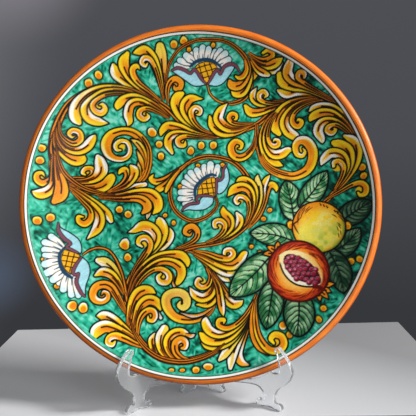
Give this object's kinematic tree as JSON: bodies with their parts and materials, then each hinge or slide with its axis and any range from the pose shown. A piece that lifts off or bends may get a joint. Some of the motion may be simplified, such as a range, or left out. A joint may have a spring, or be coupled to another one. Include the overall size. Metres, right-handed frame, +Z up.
{
  "type": "display plate",
  "caption": "Round hand painted earthenware display plate leaning in a clear folding easel, whose two front legs swing on one hinge pin in the back leg.",
  "frame": {"origin": "on the table, on the axis of the easel's hinge pin, which is the middle of the part's outline", "axes": "+Z up, the plate faces -Y, +X to the viewer's right"},
  "size_m": [0.3, 0.1341, 0.3135],
  "materials": {
    "earthenware": null,
    "painted_glaze": null,
    "white_glaze": null,
    "orange_glaze": null,
    "clear_plastic": "clear, polished",
    "pin_plastic": "clear, polished"
  },
  "bodies": {
    "stand": {"back_leg": "clear_plastic", "hinge_pin": "pin_plastic"},
    "left_leg": {"left_leg": "clear_plastic"},
    "right_leg": {"right_leg": "clear_plastic"},
    "plate": {"clay_body": "earthenware", "painted_ground": "painted_glaze", "white_line": "white_glaze", "lip_glaze": "orange_glaze", "back_glaze": "white_glaze"}
  },
  "joints": [
    {"name": "left_leg_fold", "type": "hinge", "parent": "stand", "child": "left_leg", "pos_m": [0, 0, 0.03], "axis": [0, 0, 1], "range_deg": [0, 45]},
    {"name": "right_leg_fold", "type": "hinge", "parent": "stand", "child": "right_leg", "pos_m": [0, 0, 0.03], "axis": [0, 0, -1], "range_deg": [0, 45]},
    {"name": "plate_lift", "type": "slide", "parent": "stand", "child": "plate", "axis": [0, 0.1219, 0.9925], "range_m": [0, 0.12]}
  ]
}
